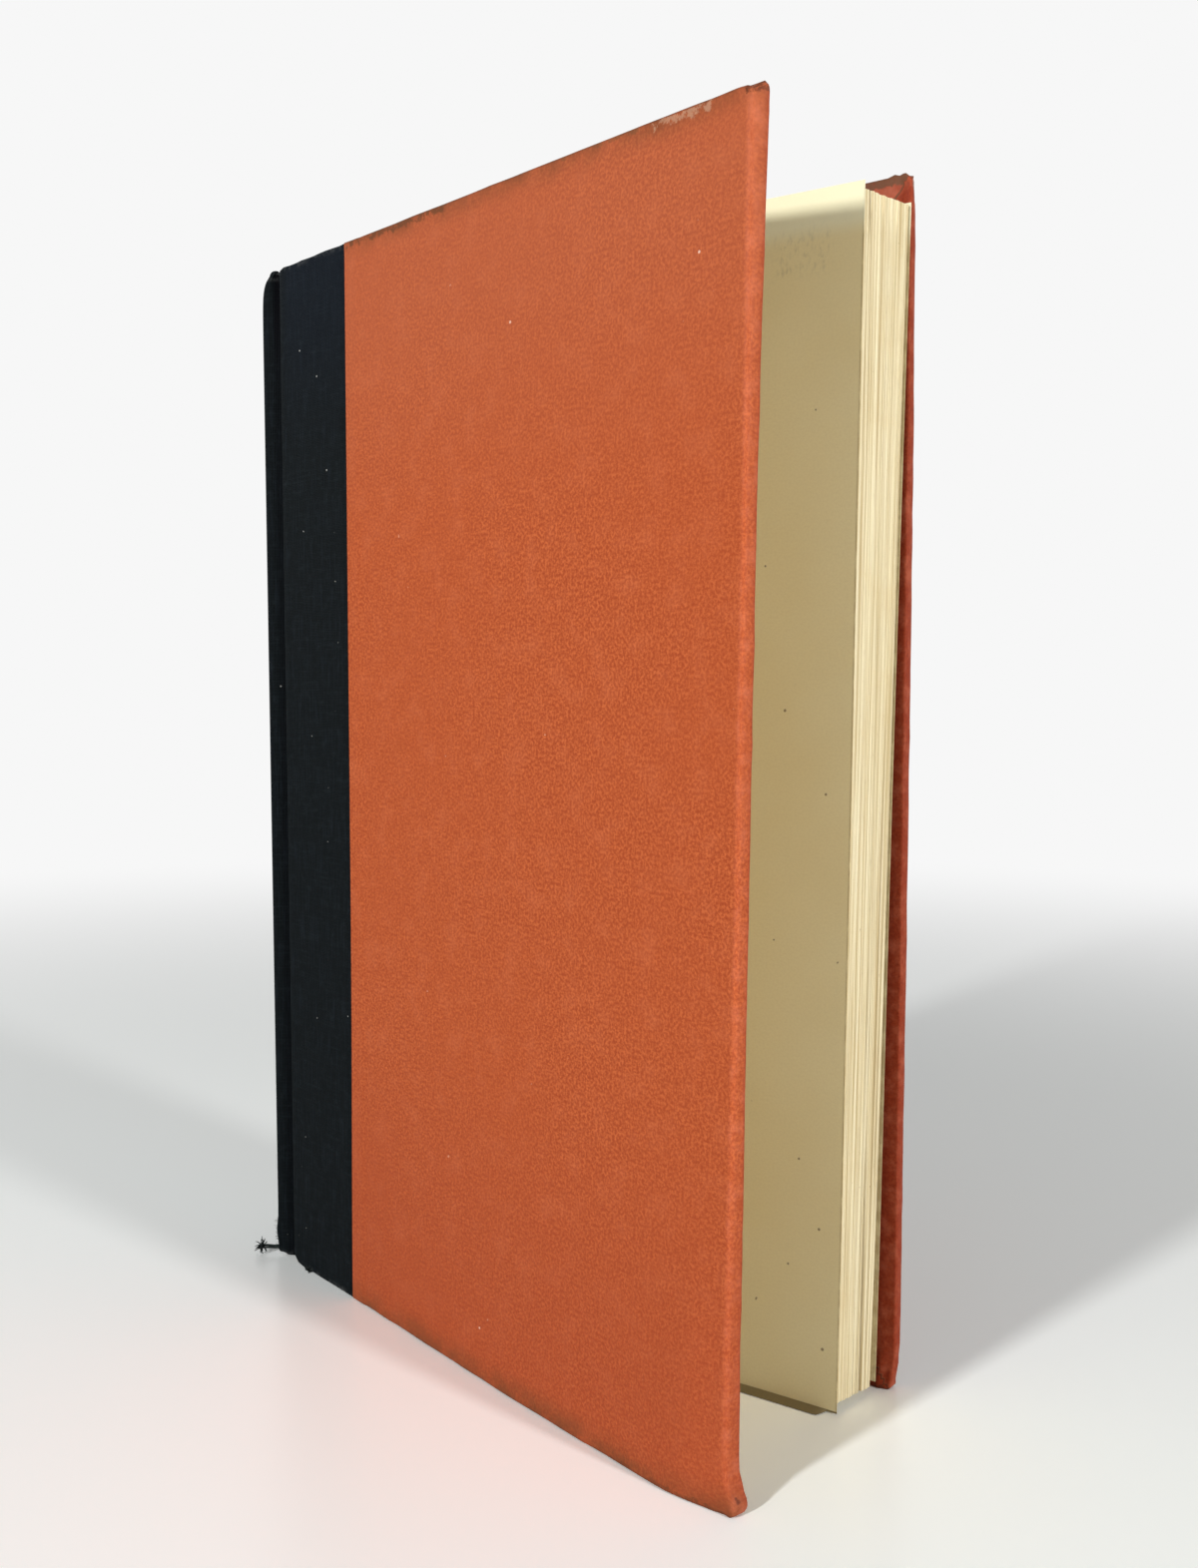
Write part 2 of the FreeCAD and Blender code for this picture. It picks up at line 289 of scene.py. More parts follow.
def siding(name, side):
    """The covered board past the cloth: outer paper, rounded edges and turned-in inner border."""
    us = spaced(CLOTH_EDGE, FORE, 3.0, EDGE_ROUND)
    us = np.unique(np.round(np.concatenate([us, CLOTH_EDGE + np.array([LAP, LAP + LAP_SLOPE])]), 4))
    zs = spaced(0, HEIGHT, 3.0, EDGE_ROUND)
    ns = np.array([PAPER_N, PAPER_N + 0.27, PAPER_N + 0.53, PAPER_N + 0.8, 1.6, 2.1, 2.35, 2.6, INNER_N])
    u, n, z, quads = lattice(us, ns, zs)
    q = np.stack([u, n, z], 1)
    uv = wrapped(q)
    p = round_box(q, (CLOTH_EDGE - 5, PAPER_N, 0), (FORE, INNER_N, HEIGHT), EDGE_ROUND)
    p = rounded_fore_edge(q, p)
    p[:, 0] = np.maximum(p[:, 0], CLOTH_EDGE)
    lap = 1 - np.clip((p[:, 0] - CLOTH_EDGE - LAP) / LAP_SLOPE, 0, 1)
    outer = np.clip((1.4 - p[:, 1]) / 1.0, 0, 1)
    p[:, 1] -= (PAPER_N + 0.06) * lap * outer
    p = round_corner(p, FORE, HEIGHT, 1, CORNER_ROUND)
    p = round_corner(p, FORE, 0, -1, TAIL_ROUND[side])
    p = worn_corners(p, side)
    return make_mesh(name, to_cover(p, side), quads, uv, side)


def wrapped(q):
    """The place of each point on the flat sheet: past an edge the sheet goes on over it and inside."""
    u, n, z = q.T
    inside = n > INNER_N - 1e-6
    edges = np.stack([FORE - u, HEIGHT - z, z], 1)
    nearest = edges.argmin(1)
    over = (n - PAPER_N) + np.where(inside, edges.min(1), 0)
    at_edge = edges.min(1) < 1e-6
    past = np.where(inside | at_edge, over, 0)
    flat = np.stack([u, z], 1)
    flat[:, 0] = np.where((nearest == 0) & (past > 0), FORE + past, flat[:, 0])
    flat[:, 1] = np.where((nearest == 1) & (past > 0), HEIGHT + past, flat[:, 1])
    flat[:, 1] = np.where((nearest == 2) & (past > 0), -past, flat[:, 1])
    return flat


def rounded_fore_edge(q, p):
    """The fore-edge's outer arris is rubbed rounder than the head and tail edges."""
    soft = round_box(q, (CLOTH_EDGE - 5, PAPER_N, -5), (FORE, INNER_N + 1, HEIGHT + 5), 0.9)
    softer = round_box(q, (CLOTH_EDGE - 5, PAPER_N, -5), (FORE, INNER_N + 1.5, HEIGHT + 5), 1.5)
    soft = soft + (softer - soft) * smooth(150, HEIGHT, q[:, 2])[:, None]
    near = smooth(FORE - 2.0, FORE - 1.0, q[:, 0]) * smooth(0, 1.5, np.minimum(q[:, 2], HEIGHT - q[:, 2]))
    near = near * smooth(2.2, 1.4, q[:, 1])
    return p + (soft - p) * near[:, None]


def corner_swell(u, z):
    """How far the front board has swollen towards the leaves around its head fore corner."""
    return 0.3 * bump_at(np.stack([u, z], 1), (FORE, HEIGHT - 8), (9, 16))


def spot(p, u, z, across, up):
    """1 at a place on the cover, falling to 0 about across and up away from it."""
    return bump_at(p[:, [0, 2]], (u, z), (across, up))


def worn_corners(p, side):
    """Bumped fore corners and small dents along the edges."""
    p = p.copy()
    u, n, z = p.T
    grain = Grain(3 if side == "front" else 4)
    edge = np.minimum(np.minimum(z, HEIGHT - z), FORE - u)
    near = np.exp(-(edge / 1.5) ** 2)
    n += 0.10 * near * grain(u / 5, z / 5)
    u -= 0.08 * near * (1 + grain(z / 4, 7.3))
    inner = smooth(1.2, 2.6, n)
    if side == "front":
        ear = spot(p, FORE - 0.2, HEIGHT, 2.2, 2.6)
        crumple = grain(u / 1.1, z / 1.1 + n)
        peak = spot(p, FORE - 0.1, HEIGHT, 1.5, 1.8)
        lift = 1.5 * peak * smooth(0.9, 2.0, n) * (1 + 0.3 * crumple)
        z += lift - 0.1 * ear * smooth(1.2, 0.5, n)
        n += ear * (0.35 * crumple + 0.35 * inner)
        n += inner * corner_swell(u, z)
        low = spot(p, FORE + 0.8, 1.4, 4.6, 3.3)
        nose = spot(p, FORE + 0.5, 0.0, 4.5, 1.8)
        crushed = grain(u / 1.5, z / 1.3 + 0.4 * n)
        u += low * (1.9 + 0.25 * crushed)
        n += low * (0.30 * inner - 0.5 + 0.3 * crushed) + 0.45 * nose * (1.3 - n)
    else:
        top = spot(p, FORE, HEIGHT, 4.5, 3.0)
        ragged = grain(u / 0.9, n / 0.8)
        z += top * (0.45 + 0.6 * ragged) * smooth(HEIGHT - 2.5, HEIGHT - 0.3, z)
        worn = spot(p, FORE + 0.4, HEIGHT - 1.6, 1.5, 2.2) * smooth(2.0, 0.8, n)
        n += 0.75 * worn * (1 + 0.6 * grain(u / 0.8, z / 0.8))
        u -= 0.55 * worn
        fold = spot(p, FORE - 2.2, HEIGHT - 4, 0.5, 6.0)
        n -= 0.25 * fold * inner
        low = spot(p, FORE, 0, 6.0, 8.0)
        n += 0.35 * low * grain(u / 2.2, z / 2.2)
        u -= 0.8 * smooth(8, 0, z) ** 1.5 * smooth(FORE - 8, FORE, u)
        crease = np.exp(-((z - 6.0 + 0.6 * (u - FORE)) / 0.5) ** 2)
        crease = crease * smooth(FORE - 5, FORE - 2, u)
        n -= 0.4 * crease * inner
        u -= 0.22 * crease * smooth(FORE - 1.5, FORE, u)
        upright = np.exp(-((u - (FORE - 3.4) - 0.12 * z) / 0.45) ** 2)
        n += 0.4 * upright * smooth(8, 5, z) * inner
    return p


def board_core(name, side):
    """The grey board inside the cover's paper and cloth. It shows only where the paper is worn through."""
    fore, tail, head = FORE - 0.9, 0.3, HEIGHT - 0.3
    us = spaced(JOINT + 0.5, fore, 4.0, EDGE_ROUND)
    zs = spaced(tail, head, 4.0, EDGE_ROUND)
    ns = np.array([BOARD_N + 0.15, 1.1, 1.6, 2.1, BOARD_BOTTOM - 0.1])
    u, n, z, quads = lattice(us, ns, zs)
    q = np.stack([u, n, z], 1)
    p = round_box(q, (us[0], ns[0], zs[0]), (us[-1], ns[-1], zs[-1]), 0.5)
    p = round_corner(p, fore, head, 1, CORNER_ROUND)
    p = round_corner(p, fore, tail, -1, CORE_TAIL_ROUND)
    return make_mesh(name, to_cover(p, side), quads, q[:, [0, 2]], side)


def groove_path():
    """From the spine's crown over its shoulder and the groove to under the siding: outer and inner (x, n)."""
    radius = (SPINE_HALF ** 2 + SPINE_RISE ** 2) / (2 * SPINE_RISE)
    centre = radius - SPINE_RISE - HINGE_GAP
    hinge_n = SPINE_HALF + HINGE_GAP
    turn = math.asin((SPINE_HALF - SHOULDER_N) / radius)
    outer, inner = [], []
    for i in range(23):
        a = turn * i / 22
        outer.append((centre - radius * math.cos(a), hinge_n - radius * math.sin(a)))
        inner.append((centre - (radius - 1.2) * math.cos(a), hinge_n - (radius - 1.2) * math.sin(a)))
    shoulder = [(-1.15, 0.95), (-1.20, 0.55), (-1.10, 0.20), (-0.80, -0.05), (-0.35, -0.12), (0.2, -0.05),
                (0.8, 0.12), (1.4, 0.42), (2.0, 0.90), (2.6, 1.50), (3.1, 2.05), (3.6, 2.35), (4.2, 2.45),
                (4.8, 2.38), (5.3, 2.1), (5.5, 1.6), (5.55, 1.0), (5.6, 0.5), (5.75, 0.22), (6.1, CLOTH_N)]
    under = [(0.30, 1.75), (0.34, 1.60), (0.42, 1.45), (0.55, 1.30), (0.75, 1.20), (1.0, 1.15), (1.3, 1.20),
             (1.7, 1.40), (2.1, 1.75), (2.6, 2.15), (3.1, 2.55), (3.6, 2.75), (4.2, 2.80), (4.8, 2.80),
             (5.3, 2.80), (5.5, 2.82), (5.55, 2.84), (5.6, 2.86), (5.75, 2.88), (6.1, INNER_N)]
    outer, inner = outer + shoulder, inner + under
    for u in np.linspace(7.5, CLOTH_EDGE - 0.1, 11):
        outer.append((u, CLOTH_N))
        inner.append((u, INNER_N))
    for u in (CLOTH_EDGE + 0.15, CLOTH_EDGE + 1.5, CLOTH_EDGE + LAP - 0.5):
        outer.append((u, CLOTH_N + 0.12))
        inner.append((u, INNER_N - 0.3))
    return np.array(outer), np.array(inner)


def open_front(points):
    """Turns closed points (x, n, z) of the cloth to the front cover's rest angle, easing over the joint."""
    u, n, z = points.T
    n = front_warp(u, n, z)
    z = z + front_rise(u, z)
    angle = OPEN * smooth(EASE_FROM, JOINT, u)
    x = HINGE_X + u * np.cos(angle) + n * np.sin(angle)
    y = FRONT_HINGE.y - u * np.sin(angle) + n * np.cos(angle)
    return np.stack([x, y, z], 1)


def cloth(name, side):
    """Half the spine, the joint and the cloth on one board, as one sheet with its folded ends."""
    outer, inner = groove_path()
    zs = spaced(0, HEIGHT, 3.0, EDGE_ROUND, grow=1.3)
    i, share, z, quads = lattice(np.arange(len(outer)), np.array([0, 0.5, 1]), zs)
    out, inn = outer[i], inner[i]
    thickness = np.linalg.norm(inn - out, axis=1)
    rim = np.minimum(EDGE_ROUND, thickness / 2)
    d = np.minimum(z, HEIGHT - z)
    sink = np.where(d < rim, rim - np.sqrt(np.maximum(rim ** 2 - (rim - d) ** 2, 0)), 0)
    along = (inn - out) / np.maximum(thickness, 1e-6)[:, None]
    flat = out + (inn - out) * share[:, None]
    flat = flat + along * (sink * (1 - 2 * share))[:, None]
    u, n = flat[:, 0], flat[:, 1]
    on_spine = 1 - smooth(-0.6, 1.2, u)
    z = z + SPINE_PROUD * smooth(HEIGHT / 2, HEIGHT, z) * on_spine
    z = z + np.sign(HEIGHT / 2 - z) * TUCK * smooth(CLOTH_EDGE - 0.05, CLOTH_EDGE + 0.15, u)
    u, n, z = spine_wear(u, n, z, side)
    z = np.maximum(joint_corners(u, z, side), 0.0)
    length = np.concatenate([[0], np.cumsum(np.linalg.norm(np.diff(outer, axis=0), axis=1))])
    uv = np.stack([length[i], z], 1)
    points = np.stack([u, n, z], 1)
    placed = open_front(points) if side == "front" else to_back(points)
    return make_mesh(name, placed, quads, uv, side, sharp=60)


def joint_corners(u, z, side):
    """Rounds the board's corners at the joint, and lets the cloth's head edge wander a little."""
    grain = Grain(15 if side == "front" else 16)
    for radius, end in ((3.2, 0.0), (1.6, HEIGHT)):
        a = np.clip((JOINT - 0.4 + radius - u) / radius, 0, 1)
        lift = radius * (1 - np.sqrt(1 - a ** 2)) * smooth(4.6, 5.6, u)
        inward = np.abs(z - end)
        z = z + math.copysign(1, HEIGHT / 2 - end) * lift * np.clip(1 - inward / (3 * radius), 0, 1)
    rim = np.exp(-np.maximum(HEIGHT - z, 0) / 1.2) + np.exp(-np.maximum(z, 0) / 1.0) * smooth(30, 9, u)
    wander = 0.16 * grain(u / 2.3, 4.4) + 0.12 * grain(u / 0.8, 9.1)
    return z + rim * wander * smooth(4.6, 6.0, u) * smooth(CLOTH_EDGE, CLOTH_EDGE - 3, u)


def spine_wear(u, n, z, side):
    """The spine's head is bent in, its tail is rubbed and swollen, and the groove gapes at the head."""
    grain = Grain(11 if side == "front" else 12)
    off_crown = 1 - smooth(5.5, 8.5, n)
    on_spine = 1 - smooth(0.6, 1.8, u)
    from_head = np.maximum(HEIGHT - z, 0)
    from_tail = np.maximum(z, 0)
    bend = 1.7 * np.exp(-from_head / 1.8) - 0.5 * np.exp(-((from_tail - 5.5) / 2.2) ** 2)
    bend = bend + 0.7 * np.exp(-from_tail / 1.2) * (1 + 0.7 * off_crown * grain(n / 1.2, 3.1))
    outside = on_spine * smooth(3.0, 0.5, n) * (0.6 * np.exp(-from_head / 1.6))
    u = u + on_spine * bend
    n = n + outside + head_gape(u, z, side)
    z = z + on_spine * np.exp(-from_tail / 1.5) * 0.35 * (1 + off_crown * grain(n / 0.9, 8.2))
    z = z + np.exp(-from_head / 1.5) * off_crown * 0.12 * grain(n / 1.7, 5.5) * (1 - smooth(4.6, 5.4, u))
    z = z + 0.9 * np.exp(-from_head / 2.5) * smooth(0.5, 2.2, u) * smooth(5.5, 4.6, u)
    return u, n, z


def head_gape(u, z, side):
    """How far the joint's groove is pushed in towards the leaves at the head."""
    near = np.exp(-(np.maximum(HEIGHT - z, 0) / 7.0) ** 2)
    return (0.45 if side == "front" else 0.1) * near * smooth(1.2, 2.6, u) * smooth(5.4, 4.6, u)


def mull_flap(name, side):
    """The gauze wing glued to the board under the pastedown. It follows the board's warp."""
    us = np.linspace(JOINT + 0.1, MULL_EDGE, 12)
    zs = np.linspace(MULL_END, HEIGHT - MULL_END, 40)
    u, layer, z, quads = lattice(us, LAYERS, zs)
    points = np.stack([u, INNER_N - 0.25 + 0.15 * layer, z], 1)
    return make_mesh(name, to_cover(points, side), quads, points[:, [0, 2]], side)


def inlay(name):
    """The card strip that stiffens the spine. It stops short of the spine's bent and rubbed ends."""
    radius = (SPINE_HALF ** 2 + SPINE_RISE ** 2) / (2 * SPINE_RISE)
    turn = math.asin((SPINE_HALF - INLAY_INSET) / radius)
    turns, layers = np.linspace(-turn, turn, 24), np.array([radius - 1.1, radius - 0.4])
    levels = np.linspace(INLAY_SHORT, HEIGHT - INLAY_SHORT, 30)
    r, a, z, quads = lattice(layers, turns, levels)
    x = HINGE_X - SPINE_RISE - HINGE_GAP + radius - r * np.cos(a)
    points = np.stack([x, MIDDLE_Y + r * np.sin(a), z], 1)
    return make_mesh(name, points, quads[:, ::-1], points[:, [1, 2]])


def pastedown(name, side, fore_margin):
    """The sheet glued inside a cover. It shows the turn-ins' ridge and crosses the joint to its fold."""
    us = np.concatenate([np.linspace(FOLD_U, JOINT, 30)[:-1], np.linspace(JOINT, FORE - fore_margin, 60)])
    us = np.unique(np.concatenate([us, FORE - TURN_IN + np.array([-RIDGE, 0.0])]))
    zs = np.linspace(PASTE_MARGIN, HEIGHT - PASTE_MARGIN, 70)
    ridges = [TURN_IN, TURN_IN + RIDGE, HEIGHT - TURN_IN - RIDGE, HEIGHT - TURN_IN]
    zs = np.unique(np.concatenate([zs, ridges]))
    u, layer, z, quads = lattice(us, LAYERS, zs)
    inset = np.minimum(FORE - u, np.minimum(z, HEIGHT - z))
    on_turn_in = smooth(TURN_IN + RIDGE, TURN_IN, inset)
    on_board = smooth(JOINT - 1, JOINT + 1, u)
    n = INNER_N + 0.02 - 0.06 * (1 - on_turn_in) * on_board + 0.12 * layer
    grain = Grain(21 if side == "front" else 22)
    n = n + 0.03 * (1 + grain(u / 9, z / 11)) * on_board
    if side == "front":
        n = n + corner_swell(u, z)
    share = np.clip((JOINT - u) / (JOINT - FOLD_U), 0, 1)
    points = np.stack([np.maximum(u, JOINT), n, z], 1)
    placed = to_cover(points, side)
    fold = np.stack([HINGE_X + FOLD_X + 0.15 * layer, np.full(len(u), FOLD_Y[side]), z], 1)
    placed = placed + (fold - placed) * share[:, None]
    return make_mesh(name, placed, quads, np.stack([u, z], 1), side, sharp=60)


def free_leaf(name, side):
    """A free endpaper, a little wavy and off the leaves. The front one's tail is creased forward into a
    narrow flap, which its material darkens as painted shade.
    """
    sign, fore, lean, low, high = -1, FORE - FORE_SQUARE, FRONT_LEAN, FLY_TAIL, HEIGHT - FLY_HEAD
    if side == "back":
        sign, fore, lean, low, high = 1, fore + SLANT, BACK_LEAN, TAIL_SQUARE, HEIGHT - HEAD_SQUARE
    a = np.unique(np.concatenate([np.linspace(0, 1, 70), [0.978, 0.982, 0.9855]]))
    b = np.concatenate([[0, 0.0012, 0.003], np.linspace(0.006, 1, 90)])
    s, layer, t, quads = lattice(a, LAYERS, b)
    x = FLY_GUTTER + (fore + lean * (2 * t - 1) + 0.25 + 0.2 * (1 - t) - FLY_GUTTER) * s
    z = low + (high - low) * t
    grain = Grain(31 if side == "front" else 32)
    if side == "front":
        off = 0.03 + s ** 2 * (0.10 + 0.12 * grain(t * 4, 1.5)) + 0.25 * s ** 3 * smooth(0.15, 0.0, t)
        ripple = 0.25 * s * grain(s * 5, 9.5) * smooth(0.1, 0, t)
        z = z + ripple - 0.35 * s * smooth(0.5, 1, s) * (1 - t) * 0.5
        foot = (t < 0.0008) * smooth(0.9850, 0.9790, s) * smooth(0, 0.4, s)
        off = off + FOOT_FOLD * foot
        z = z - 0.6 * foot
    else:
        off = 0.25 + s ** 2 * (0.15 + 1.0 * smooth(0.6, 0.0, t))
    y = MIDDLE_Y + sign * (BLOCK_HALF + off + 0.12 * (layer if side == "back" else 1 - layer))
    placed = np.stack([HINGE_X + x, y, np.maximum(z, 0.15)], 1)
    return make_mesh(name, placed, quads, np.stack([x, z], 1), sharp=60)


def leaves(name):
    """The leaves: a round back, and a fore-edge where single leaves and a few openings show."""
    lines = 221
    along = 1 - (1 - np.linspace(0, 1, 30)) ** 1.8
    s, v, t, quads = lattice(along, np.linspace(0, 1, lines), np.linspace(0, 1, 90))
    y = BLOCK_HALF * (2 * v - 1)
    z = TAIL_SQUARE + (HEIGHT - HEAD_SQUARE - TAIL_SQUARE) * t - 0.5 * v * s
    lean = FRONT_LEAN + (BACK_LEAN - FRONT_LEAN) * v
    fore = FORE - FORE_SQUARE + SLANT * v + lean * (2 * t - 1)
    back_x = 0.85 - 1.15 * (1 - (y / BLOCK_HALF) ** 2)
    x = back_x + (fore - back_x) * s
    grain, fine, broad = Grain(41), Grain(42), Grain(43)
    leaf = lines * v
    at_fore = smooth(0.95, 1.0, s)
    rough = 0.14 * broad(leaf / 11, z / 90) + 0.10 * fine(leaf / 2.6, z / 60) + 0.06 * grain(leaf, z / 30)
    x = x + at_fore * rough
    on_end = (np.abs(2 * t - 1) > 0.999) * 1.0
    z = z + on_end * (0.03 * fine(leaf / 1.6, x / 40) + 0.03 * broad(leaf / 16, x / 50))
    for place, width, deep, low, high in LEAF_GAPS:
        reach = smooth(low, high, z)
        cut = np.exp(-((v - place) / (width * (0.3 + 0.7 * reach))) ** 4) * reach
        x = x - deep * cut * at_fore
    placed = np.stack([HINGE_X + x, MIDDLE_Y + y, z], 1)
    return make_mesh(name, placed, quads, np.stack([x, z], 1), sharp=35)


def unit(way):
    return way / np.linalg.norm(way)


def tubes(name, runs, seed):
    """Loose threads as one mesh. Each run is its points and its radius at the start and the end."""
    rng = np.random.default_rng(seed)
    points, quads = [], []
    sides = 6                  # the end caps below join these six
    for line, thick, thin in runs:
        line = np.array(line, float)
        base = len(points)
        for i, place in enumerate(line):
            way = unit(line[min(i + 1, len(line) - 1)] - line[max(i - 1, 0)])
            side = unit(np.cross(way, (0.3, 0.2, 1.0)))
            over = np.cross(way, side)
            radius = thick + (thin - thick) * i / (len(line) - 1)
            radius = radius * (1 + 0.15 * rng.uniform(-1, 1))
            for k in range(sides):
                turn = 2 * math.pi * k / sides
                points.append(place + radius * (side * math.cos(turn) + over * math.sin(turn)))
        for i in range(len(line) - 1):
            for k in range(sides):
                a, b = base + i * sides + k, base + i * sides + (k + 1) % sides
                quads.append((a, b, b + sides, a + sides))
        for end in (0, len(line) - 1):
            a = base + end * sides
            quads += [(a, a + 1, a + 2, a + 3), (a, a + 3, a + 4, a + 5)]
    points = np.array(points)
    return make_mesh(name, points, np.array(quads), points[:, [0, 2]] * 4)


THREAD_STEPS = 7
THREAD_LOW = 0.15              # threads don't sink into the floor


def frayed(root, way, length, count, spread, seed, thick):
    """Threads that leave one place and fan out, each with a wander of its own."""
    rng = np.random.default_rng(seed)
    runs = []
    for i in range(count):
        heading = unit(np.array(way, float) + spread * rng.normal(size=3))
        line = [np.array(root, float) + 0.12 * rng.normal(size=3)]
        step = length * rng.uniform(0.6, 1.1) / THREAD_STEPS
        for _ in range(THREAD_STEPS):
            heading = unit(heading + 0.35 * spread * rng.normal(size=3))
            line.append(line[-1] + step * heading)
        line = [np.array((q[0], q[1], max(q[2], THREAD_LOW))) for q in line]
        runs.append((line, thick, thick * 0.5))
    return runs


# Materials

# Small marks on the flat sheets, each as its place and radius in millimetres
CLOTH_SPECKS = ((27.1, 197.8, 0.24), (33.8, 191.7, 0.26), (37.3, 172.6, 0.24), (40.2, 150.0, 0.16),
                (30.0, 118.0, 0.15), (43.5, 60.0, 0.16), (25.0, 30.0, 0.14), (36.0, 96.0, 0.14))
FOXING = ((125.7, 124.8, 0.35), (133.9, 110.4, 0.3), (129.6, 45.1, 0.3), (133.8, 33.0, 0.35),
          (127.7, 25.4, 0.28), (134.9, 11.3, 0.4), (121.5, 150.0, 0.25), (131.0, 176.0, 0.22),
          (124.0, 84.0, 0.22))
# Marks on the cover papers: where, how strong and what colour. Where is a rectangle (left, right, low,
# high and how soft its edge is) or several small marks
FRONT_MARKS = (
    ((33.0, 66.0, HEIGHT - 0.6, HEIGHT + 0.5, 2.4), 0.75, (96, 60, 34)),
    ((100.0, 118.0, HEIGHT - 0.4, HEIGHT + 0.5, 1.4), 0.6, (120, 76, 46)),
    ((122.0, 134.0, HEIGHT - 1.2, HEIGHT - 0.9, 1.4), 0.45, (204, 164, 134)),
    ((FORE - 1.0, FORE + 2.2, HEIGHT - 1.0, HEIGHT + 0.4, 0.9), 0.9, (92, 44, 22)),
    ((118.0, FORE, -0.5, 0.4, 1.4), 0.7, (110, 60, 34)),
    (((FORE + 1.3, 2.6, 0.5), (FORE + 1.1, 3.1, 0.35)), 0.9, (86, 34, 18)),
    (((132.3, 194.1, 0.32), (85.7, 191.6, 0.34), (79.5, 9.8, 0.3), (96.0, 120.5, 0.16),
      (60.0, 70.0, 0.15)), 1.0, (232, 190, 168)),
)
BACK_MARKS = (
    ((FORE - 10.0, FORE + 1.0, HEIGHT + 1.4, HEIGHT + 4.0, 1.0), 1.0, (116, 74, 52)),
    (((FORE + 1.4, HEIGHT - 1.6, 1.4), (FORE + 0.4, HEIGHT - 0.8, 1.0)), 0.9, (146, 126, 112)),
    ((FORE - 9.0, FORE + 3.0, -3.4, 0.2, 1.0), 0.9, (84, 40, 22)),
)
WHOLE_MARK = 0.34              # how much of a mark's area stays after the noise breaks it up
BROKEN_MARK = 0.24
LEAF_FORE = FORE - FORE_SQUARE - FRONT_LEAN + 0.45     # the flyleaf's fore-edge at its tail
LEAF_LEAN = 2 * FRONT_LEAN - 0.2                       # how far it slants from there to the head


def srgb(r, g, b):
    """Linear colour from 0 to 255 display values."""
    out = []
    for c in (r, g, b):
        c = c / 255
        out.append(c / 12.92 if c <= 0.04045 else ((c + 0.055) / 1.055) ** 2.4)
    return (*out, 1)


